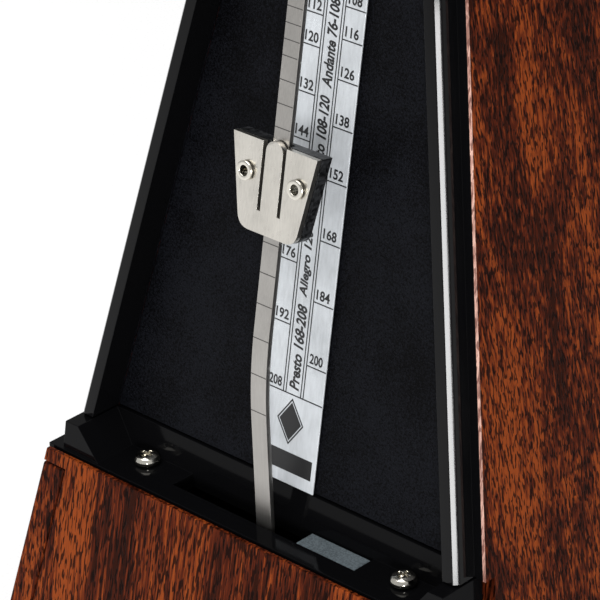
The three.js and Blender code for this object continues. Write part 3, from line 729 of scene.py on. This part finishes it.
@dataclass(frozen=True)
class BarTree:
    """Geometry nodes that lay one flat bar at every point of a mesh."""

    material: bpy.types.Material
    across_mm: float
    thick_mm: float
    raise_mm: float

    def tree(self) -> bpy.types.NodeTree:
        """Builds the node group.

        Returns:
            The tree, with inputs for the bar's three sizes and its lean.
        """
        group = bpy.data.node_groups.new("bars at points", "GeometryNodeTree")
        face = group.interface
        face.new_socket("Geometry", in_out="INPUT", socket_type="NodeSocketGeometry")
        for label in ("Across", "Thick", "Raise", "Lean"):
            face.new_socket(label, in_out="INPUT", socket_type="NodeSocketFloat")
        face.new_socket("Geometry", in_out="OUTPUT", socket_type="NodeSocketGeometry")
        start = add_node(group, "NodeGroupInput").outputs
        size = add_node(
            group,
            "ShaderNodeCombineXYZ",
            {"X": start["Across"], "Y": start["Raise"], "Z": start["Thick"]},
        )
        bar = add_node(group, "GeometryNodeMeshCube", {"Size": size})
        tilt = add_node(group, "ShaderNodeCombineXYZ", {"X": start["Lean"]})
        placed = add_node(
            group,
            "GeometryNodeInstanceOnPoints",
            {"Points": start["Geometry"], "Instance": bar, "Rotation": tilt},
        )
        real = add_node(group, "GeometryNodeRealizeInstances", {"Geometry": placed})
        inked = {"Geometry": real, "Material": self.material}
        done = add_node(group, "GeometryNodeSetMaterial", inked)
        add_node(group, "NodeGroupOutput", {"Geometry": done})
        return group

    def lay(self, name: str, points: list[Vector], lean: float) -> bpy.types.Object:
        """Lays the bars and returns them as one plain mesh object.

        Args:
            name: the piece's name.
            points: where each bar's middle goes.
            lean: turn about X, in radians.

        Returns:
            The bars as an object with no modifier.
        """
        base = bpy.data.meshes.new(name + "_points")
        base.from_pydata([tuple(p) for p in points], [], [])
        holder = new_object(name + "_points", base)
        modifier = holder.modifiers.new("bars", "NODES")
        group = self.tree()
        modifier.node_group = group
        values = {
            "Across": self.across_mm * MM,
            "Thick": self.thick_mm * MM,
            "Raise": self.raise_mm * MM,
            "Lean": lean,
        }
        for item in group.interface.items_tree:
            if item.in_out == "INPUT" and item.name in values:
                modifier[item.identifier] = values[item.name]
        graph = bpy.context.evaluated_depsgraph_get()
        mesh = bpy.data.meshes.new_from_object(holder.evaluated_get(graph))
        bpy.data.objects.remove(holder)
        return new_object(name, mesh)


# Sub-assemblies


@dataclass
class WoodenCase:
    """The case's boards, cap, feet, the pale veneer edges by the bay and painted shade behind them.

    veneer and backing say how far their two edges lie in from the case's outer face. veneer_start
    and bare_edge are depths behind the flange's front, and veneer_past and backing_start are depths
    behind its back. The strips begin strip_start above the ledge.
    """

    nodes: dict[str, bpy.types.Object]
    paint: Palette
    edge_mm: float = 0.35
    cap_edge_mm: float = 0.9
    foot_edge_mm: float = 0.6
    veneer: tuple[float, float] = (0.54, 0.02)
    veneer_start: float = 0.02
    veneer_past: float = 0.27
    bare_edge: tuple[float, float] = (-0.1, 0.0)
    # the black strip of painted shade in the gap behind the flange
    backing: tuple[float, float] = (5.38, 0.6)
    backing_start: float = 0.03
    strip_start: float = 0.3

    def build(self) -> None:
        """Dresses the boards and adds the veneer edges."""
        boards = {
            "lower_front_panel": self.paint.front_wood,
            "left_side_panel": self.paint.side_wood,
            "right_side_panel": self.paint.side_wood,
            "rear_panel": self.paint.rear_wood,
            "base_board": self.paint.cap_wood,
            "top_cap": self.paint.cap_wood,
        }
        for name, material in boards.items():
            width = self.cap_edge_mm if name == "top_cap" else self.edge_mm
            Dressing(name, name + "_board", width, "wood", material).apply(self.nodes, "case")
        for name in ("platform_support_left", "platform_support_right"):
            paint_over(self.nodes[name], self.paint.front_wood)
        for name in [n for n in self.nodes if n.startswith("foot_")]:
            width, rubber = self.foot_edge_mm, self.paint.rubber
            Dressing(name, name + "_pad", width, "rubber", rubber, 3).apply(self.nodes, "case")
        for side, label in ((-1, "left"), (1, "right")):
            self.bay_edges(side, label)

    def edge_strip(
        self,
        name: str,
        side: int,
        across: tuple[float, float],
        behind: tuple[float, float],
        material: bpy.types.Material,
        slot: str,
    ) -> None:
        """Adds a long thin strip beside the bay.

        Args:
            name: the piece's name.
            side: minus one on the left, one on the right.
            across: how far its two edges lie in from the case's outer face.
            behind: where it starts and ends behind the flange's front.
            material: its finish.
            slot: the record's material slot.
        """
        outlines = []
        for z in (SIZES.ledge + self.strip_start, SIZES.top):
            outer, front = SIZES.half_width(z), SIZES.flange_y(z)
            far, near = outer - across[0], outer - across[1]
            corners = ((far, behind[0]), (near, behind[0]), (near, behind[1]), (far, behind[1]))
            outlines.append([point(side * x, front + y, z) for x, y in corners])
        finish_piece(prism(name, *outlines), "case", slot, material)

    def bay_edges(self, side: int, label: str) -> None:
        """Adds the veneer and its bare edge beside the flange, and black painted shade behind it."""
        back = SIZES.flange + self.veneer_past
        paint = self.paint
        for name, across, behind, material, slot in (
            ("side_veneer_", self.veneer, (self.veneer_start, back), paint.side_wood, "wood"),
            ("veneer_edge_", self.veneer, self.bare_edge, paint.edge_wood, "wood"),
            # painted shade: a black strip darkens the gap between the flange and the panel
            (
                "bay_shade_strip_",
                self.backing,
                (SIZES.flange + self.backing_start, back),
                paint.powder,
                "panel_black",
            ),
        ):
            self.edge_strip(name + label, side, across, behind, material, slot)


@dataclass
class Bay:
    """The glossy surround and platform, the powder-coated panel and the screws."""

    nodes: dict[str, bpy.types.Object]
    paint: Palette

    def build(self) -> None:
        """Dresses each piece of the bay."""
        paint = self.paint
        screws = [
            Dressing(
                "platform_screw_" + side,
                "cross_head_screw_" + side,
                0.1,
                "nickel",
                paint.nickel,
                sharp_deg=20,
            )
            for side in ("left", "right")
        ]
        for piece in (
            Dressing("bay_surround", "bay_moulding", 0.12, "gloss_black", paint.lacquer),
            Dressing("platform", "platform_tray", 0.22, "gloss_black", paint.tray, 3),
            Dressing("back_panel", "powder_coated_panel", 0.2, "panel_black", paint.powder),
            *screws,
            Dressing("slot_pad", "felt_slot_pad", 0.3, "felt", paint.felt, 3),
            Dressing("rod_catch", "rod_catch_clip", 0.15, "steel", paint.steel),
        ):
            piece.apply(self.nodes, "case")


@dataclass
class TempoScale:
    """The scale strip with its ticks, numbers, tempo words and plain ornament.

    Double rules, inner_mm and outer_mm from the middle, part the words from the numbers. The
    last five sizes place the ticks. With the weight at balance_mm the pendulum would balance.
    Its inertia, for each unit of the weight's mass, is the square of the weight's distance,
    hub_mm times that distance and bob_mm2 together. rise turns the distance into a height.
    """

    nodes: dict[str, bpy.types.Object]
    paint: Palette
    tempos: tuple[int, ...] = (
        *range(40, 60, 2),
        *range(60, 72, 3),
        *range(72, 120, 4),
        *range(120, 144, 6),
        *range(144, 209, 8),
    )
    words: tuple[tuple[str, int, int], ...] = (
        ("Presto", 168, 208),
        ("Allegro", 120, 168),
        ("Moderato", 108, 120),
        ("Andante", 76, 108),
        ("Adagio", 66, 76),
        ("Larghetto", 60, 66),
        ("Largo", 40, 60),
    )
    ink_mm: float = 0.03
    sink_mm: float = 0.005
    line_mm: float = 0.2
    side_margin: float = 0.02
    above_slowest: float = 2.6
    digit_mm: float = 0.96
    digit_gap: float = 0.06
    digit_height: float = 1.72
    digit_space: float = 0.5
    digit_weight: float = 0.022
    letter_mm: float = 1.03
    letter_height: float = 2.2
    letter_slant: float = 0.2
    letter_weight: float = 0.03
    first_letter: float = 0.8
    diamond_rise: float = 3.1
    diamond_half: tuple[float, float] = (2.9, 3.9)
    diamond_rings: tuple[tuple[float, float], ...] = ((1.0, 0.9), (0.82, 0.0))
    band_rise: float = 2.4
    band_half: float = 5.6
    band_height: float = 3.2
    inner_mm: float = 1.62
    outer_mm: float = 2.18
    balance_mm: float = 143.44
    bob_mm2: float = 9604.7
    hub_mm: float = 2.003
    rise: float = 0.971
    gravity: float = 9810.0

    def height(self, tempo: float) -> float:
        """Height of a tempo's tick, by the law of a pendulum with a weight above its pivot.

        Args:
            tempo: beats each minute.

        Returns:
            The height in the part's frame, in millimetres.
        """
        rate = (math.pi * tempo / 60) ** 2 / self.gravity
        linear_term = 1 + self.hub_mm * rate
        rest = self.balance_mm - self.bob_mm2 * rate
        length = (math.sqrt(linear_term**2 + 4 * rate * rest) - linear_term) / (2 * rate)
        return SIZES.platform + self.rise * length

    def column(self, tempo: int) -> Column:
        """Which column shows a tempo: they alternate, starting right of the fastest."""
        order = sorted(self.tempos, reverse=True).index(tempo)
        return Column.LEFT if order % 2 == 0 else Column.RIGHT

    def on_strip(self, x: float, z: float) -> Vector:
        """The point of the printed face at x and z, both in millimetres."""
        return point(x, SIZES.strip_y(z) - self.ink_mm / 2, z)

    def bar(self, name: str, x0: float, x1: float, z0: float, z1: float) -> bpy.types.Object:
        """A flat printed rectangle on the strip."""
        return self.printed(name, [(x0, z0), (x1, z0), (x1, z1), (x0, z1)])

    def printed(self, name: str, outline: list[tuple[float, float]]) -> bpy.types.Object:
        """A flat printed shape on the strip, from its corners' x and z."""
        layers = [
            [point(x, SIZES.strip_y(z) - depth, z) for x, z in outline]
            for depth in (self.sink_mm, self.ink_mm)
        ]
        return prism(name, *layers)

    def words_mesh(
        self,
        name: str,
        text: str,
        centre: tuple[float, float],
        size_mm: tuple[float, float],
        upright: bool,
        shear: float = 0.0,
        weight: float = 0.0,
    ) -> bpy.types.Object:
        """Printed lettering on the strip.

        Args:
            name: the object's name.
            text: what it says.
            centre: x and z of its middle.
            size_mm: its length and its capital height.
            upright: whether it reads level, or from bottom to top.
            shear: slant of italic letters.
            weight: how much the strokes are thickened.

        Returns:
            The lettering as a mesh object in place.
        """
        curve = bpy.data.curves.new(name, "FONT")
        curve.body = text
        curve.shear = shear
        curve.offset = weight
        curve.resolution_u = 3
        # half a unit each way, so that scaling by the ink's thickness gives that thickness
        curve.extrude = 0.5
        holder = new_object(name + "_text", curve)
        graph = bpy.context.evaluated_depsgraph_get()
        mesh = bpy.data.meshes.new_from_object(holder.evaluated_get(graph))
        bpy.data.objects.remove(holder)
        low = Vector(map(min, *[v.co for v in mesh.vertices]))
        high = Vector(map(max, *[v.co for v in mesh.vertices]))
        span = high - low
        middle = (low + high) / 2
        x, z = centre
        lean = math.hypot(1.0, SIZES.taper)
        right = Vector((1, 0, 0))
        up = Vector((0, SIZES.taper, 1)) / lean
        out = Vector((0, -1, SIZES.taper)) / lean
        if not upright:
            right, up = up, -right
        place = Matrix.Identity(4)
        for i, axis in enumerate((right, up, out)):
            place.col[i][:3] = axis
        place.translation = self.on_strip(x, z)
        scale = Matrix.Diagonal(
            (size_mm[0] / span.x * MM, size_mm[1] / span.y * MM, self.ink_mm * MM, 1)
        )
        mesh.transform(place @ scale @ Matrix.Translation(-middle))
        return new_object(name, mesh)

    def build(self) -> None:
        """Prints the strip."""
        strip = Dressing("scale_strip", "scale_strip_plate", 0.08, "scale", self.paint.scale)
        strip.apply(self.nodes, "case")
        lean = -math.atan(SIZES.taper)
        length = SIZES.strip_half - self.outer_mm
        ticks = BarTree(self.paint.ink, length, self.line_mm, self.ink_mm)
        for column in Column:
            x = column.value * (self.outer_mm + length / 2)
            at = [self.on_strip(x, self.height(t)) for t in self.tempos if self.column(t) is column]
            piece = ticks.lay("scale_ticks_" + column.name.lower(), at, lean)
            finish_piece(piece, "case", "scale", self.paint.ink)
        bottom = self.height(208)
        top = self.height(40) + self.above_slowest
        half = self.line_mm / 2
        lines = [
            self.bar(f"line_{x}", x - half, x + half, bottom, top)
            for side in (-1, 1)
            for x in (side * self.inner_mm, side * self.outer_mm)
        ]
        end = SIZES.strip_half - self.side_margin
        lines.append(self.bar("base", -end, end, bottom - half, bottom + half))
        finish_piece(joined("scale_lines", lines), "case", "scale", self.paint.ink)
        self.print_numbers()
        self.print_words()
        self.print_ornament()

    def print_numbers(self) -> None:
        """Prints each tempo just above its tick."""
        numbers = []
        for tempo in self.tempos:
            side = self.column(tempo).value
            text = str(tempo)
            size = (self.digit_mm * len(text) - self.digit_gap, self.digit_height)
            x = side * (self.outer_mm + self.digit_space + size[0] / 2)
            z = self.height(tempo) + self.digit_space + size[1] / 2
            number = self.words_mesh(f"n{tempo}", text, (x, z), size, True, 0.0, self.digit_weight)
            numbers.append(number)
        finish_piece(joined("scale_numbers", numbers), "case", "scale", self.paint.ink)

    def print_words(self) -> None:
        """Prints the tempo words up the middle column."""
        letters = []
        start = self.height(208) + self.first_letter
        for word, slow, fast in self.words:
            text = f"{word} {slow}-{fast}"
            length = self.letter_mm * len(text)
            middle = (0.0, start + length / 2)
            size = (length, self.letter_height)
            slant, weight = self.letter_slant, self.letter_weight
            letters.append(self.words_mesh(word, text, middle, size, False, slant, weight))
            start += length + self.letter_mm
        finish_piece(joined("scale_words", letters), "case", "scale", self.paint.ink)

    def print_ornament(self) -> None:
        """Prints a plain diamond and a plain band below the scale."""
        z = (self.height(208) + SIZES.ledge) / 2 + self.diamond_rise
        wide, tall = self.diamond_half
        corners = [(0.0, -1.0), (1.0, 0.0), (0.0, 1.0), (-1.0, 0.0)]
        pieces = []
        for index, (outer, inner) in enumerate(self.diamond_rings):
            for k, (ax, az) in enumerate(corners):
                bx, bz = corners[(k + 1) % 4]
                flat = [(ax * outer, az * outer), (bx * outer, bz * outer)]
                flat += [(bx * inner, bz * inner), (ax * inner, az * inner)]
                if inner == 0:
                    flat.pop()
                outline = [(x * wide, z + q * tall) for x, q in flat]
                pieces.append(self.printed(f"diamond_{index}_{k}", outline))
        low, half = SIZES.ledge + self.band_rise, self.band_half
        pieces.append(self.bar("band", -half, half, low, low + self.band_height))
        finish_piece(joined("scale_ornament", pieces), "case", "scale", self.paint.ink)


@dataclass
class Pendulum:
    """The marked rod, its bob, hub, arbor and pallets.

    Each mark stands square to the rod from its tick, which lies proud_mm behind it.
    """

    nodes: dict[str, bpy.types.Object]
    paint: Palette
    scale: TempoScale
    mark_mm: float = 0.16
    mark_margin: float = 0.1
    mark_depth: float = 0.03
    mark_proud: float = 0.004
    proud_mm: float = 10.5
    turned_edge: float = 0.4

    def build(self) -> None:
        """Dresses the pendulum and engraves the rod."""
        paint, edge = self.paint, self.turned_edge
        rod = Dressing("pendulum_rod", "spring_steel_rod", 0.1, "steel", paint.steel)
        rod.apply(self.nodes, "pendulum")
        across = SIZES.rod_width - self.mark_margin
        bars = BarTree(paint.engraving, across, self.mark_mm, self.mark_depth)
        places: dict[float, list[Vector]] = {}
        for height in map(self.scale.height, self.scale.tempos):
            height += self.proud_mm * math.tan(SIZES.rod_front(height)[1])
            y, turn = SIZES.rod_front(height)
            mark = point(0, y - self.mark_proud, height)
            places.setdefault(round(turn, 3), []).append(mark)
        rows = [bars.lay(f"marks_{turn}", at, -turn) for turn, at in places.items()]
        finish_piece(joined("rod_marks", rows), "pendulum", "steel", paint.engraving)
        for node, slot, material in (
            ("fixed_bob", "lead", paint.lead),
            ("rod_hub", "brass", paint.brass),
        ):
            Dressing(node, node + "_turned", edge, slot, material).apply(self.nodes, "pendulum")
        for node in ("pendulum_arbor", "front_pallet", "rear_pallet"):
            paint_over(self.nodes[node], paint.steel)


@dataclass
class SlidingWeight:
    """The weight: crinkle-painted casting, satin nickel face, spring tongue and rivets."""

    nodes: dict[str, bpy.types.Object]
    paint: Palette

    def build(self) -> None:
        """Dresses the weight."""
        paint = self.paint
        for piece in (
            Dressing("weight_body", "weight_casting", 0.45, "cast", paint.casting, 3),
            Dressing("weight_plate", "weight_face", 0.22, "nickel", paint.plate, 3),
            Dressing("weight_rivet_left", "hollow_rivet_left", 0.14, "nickel", paint.nickel, 3),
            Dressing("weight_rivet_right", "hollow_rivet_right", 0.14, "nickel", paint.nickel, 3),
        ):
            piece.apply(self.nodes, "sliding_weight")


@dataclass
class Movement:
    """The clockwork and the winding key."""

    nodes: dict[str, bpy.types.Object]
    paint: Palette

    def build(self) -> None:
        """Dresses every node of the movement in its own metal."""
        metals = {"brass": self.paint.brass, "steel": self.paint.steel}
        for part in FRAME["record"]["subparts"]:
            node = self.nodes.get(part["node"])
            material = metals.get(part["material_slot"])
            if node and material and not node.hide_render:
                paint_over(node, material)
        nickel = self.paint.nickel
        key = Dressing("winding_key", "winding_key_cast", 0.35, "nickel", nickel, 3)
        key.apply(self.nodes, "winding")
        bushing = Dressing("key_bushing", "key_bushing_turned", 0.25, "nickel", nickel)
        bushing.apply(self.nodes, "case")


@dataclass(frozen=True)
class Softbox:
    """A rectangular light that faces the part: angles in degrees, sizes in metres, watts."""

    name: str
    azimuth: float
    elevation: float
    distance: float
    size: tuple[float, float]
    power: float


@dataclass
class Studio:
    """A pale floor, soft lights and the camera.

    Angles are in degrees, but roll in radians. Lengths are in metres, but lens and sensor in
    millimetres, and target in millimetres from the case's middle.
    """

    azimuth: float = 44.893
    elevation: float = 27.707
    distance: float = 0.5431
    roll: float = 0.0402
    lens: float = 210.69
    target: tuple[float, float, float] = (7.845, -37.85, 104.719)
    sensor: float = 36.0
    clip: tuple[float, float] = (0.01, 50.0)
    ambient: float = 0.55
    floor_half: float = 6.0
    floor_drop: float = 0.0005
    softboxes: tuple[Softbox, ...] = (
        Softbox("key_softbox", 45.0, 4.0, 1.6, (0.26, 0.36), 20.0),
        Softbox("overhead_softbox", -20.0, 72.0, 1.6, (1.4, 1.4), 26.0),
    )

    def build(self) -> None:
        """Sets up the floor, the lights, the world and the camera."""
        self.floor()
        for box in self.softboxes:
            self.light(box)
        world = bpy.data.worlds.new("studio")
        world.use_nodes = True
        background = world.node_tree.nodes["Background"]
        background.inputs["Color"].default_value = linear("#ffffff")
        background.inputs["Strength"].default_value = self.ambient
        bpy.context.scene.world = world
        bpy.context.scene.view_settings.view_transform = "Standard"
        self.camera()

    def floor(self) -> None:
        """Lays a wide plain floor under the feet."""
        work = bmesh.new()
        bmesh.ops.create_grid(work, x_segments=1, y_segments=1, size=self.floor_half)
        mesh = bpy.data.meshes.new("floor")
        work.to_mesh(mesh)
        work.free()
        floor = new_object("floor", mesh)
        floor.location.z = -self.floor_drop
        floor.data.materials.append(Print("matt white floor", 0.7, colour="#f4f4f4").build())

    def spot(self, azimuth: float, elevation: float, distance: float) -> Vector:
        """A point at that bearing and distance from what the camera looks at."""
        a, e = math.radians(azimuth), math.radians(elevation)
        away = Vector((math.sin(a) * math.cos(e), -math.cos(a) * math.cos(e), math.sin(e)))
        return point(*self.target) + away * distance

    def light(self, box: Softbox) -> None:
        """Hangs a softbox."""
        data = bpy.data.lights.new(box.name, "AREA")
        data.shape = "RECTANGLE"
        data.size, data.size_y = box.size
        data.energy = box.power
        lamp = bpy.data.objects.new(box.name, data)
        lamp.location = self.spot(box.azimuth, box.elevation, box.distance)
        facing = point(*self.target) - lamp.location
        lamp.rotation_euler = facing.to_track_quat("-Z", "Y").to_euler()
        bpy.context.scene.collection.objects.link(lamp)

    def camera(self) -> None:
        """Places the camera."""
        data = bpy.data.cameras.new("camera")
        data.lens = self.lens
        data.sensor_width = self.sensor
        data.clip_start, data.clip_end = self.clip
        eye = bpy.data.objects.new("camera", data)
        eye.location = self.spot(self.azimuth, self.elevation, self.distance)
        facing = point(*self.target) - eye.location
        turn = facing.to_track_quat("-Z", "Y").to_matrix() @ Matrix.Rotation(-self.roll, 3, "Z")
        eye.rotation_euler = turn.to_euler()
        bpy.context.scene.collection.objects.link(eye)
        bpy.context.scene.camera = eye


with open("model.json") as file:
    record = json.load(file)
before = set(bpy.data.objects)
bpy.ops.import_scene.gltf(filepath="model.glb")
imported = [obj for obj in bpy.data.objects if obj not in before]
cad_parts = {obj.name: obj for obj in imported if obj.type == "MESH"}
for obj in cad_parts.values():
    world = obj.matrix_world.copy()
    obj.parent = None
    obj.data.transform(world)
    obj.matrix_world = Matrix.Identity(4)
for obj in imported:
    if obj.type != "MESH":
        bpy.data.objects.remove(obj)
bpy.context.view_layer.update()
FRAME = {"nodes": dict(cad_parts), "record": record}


def main() -> None:
    """Builds every sub-assembly in order."""
    logging.basicConfig(level=logging.INFO)
    nodes = FRAME["nodes"]
    paint = Palette()
    WoodenCase(nodes, paint).build()
    Bay(nodes, paint).build()
    scale = TempoScale(nodes, paint)
    scale.build()
    Pendulum(nodes, paint, scale).build()
    SlidingWeight(nodes, paint).build()
    Movement(nodes, paint).build()
    Studio().build()


if __name__ == "__main__":
    main()
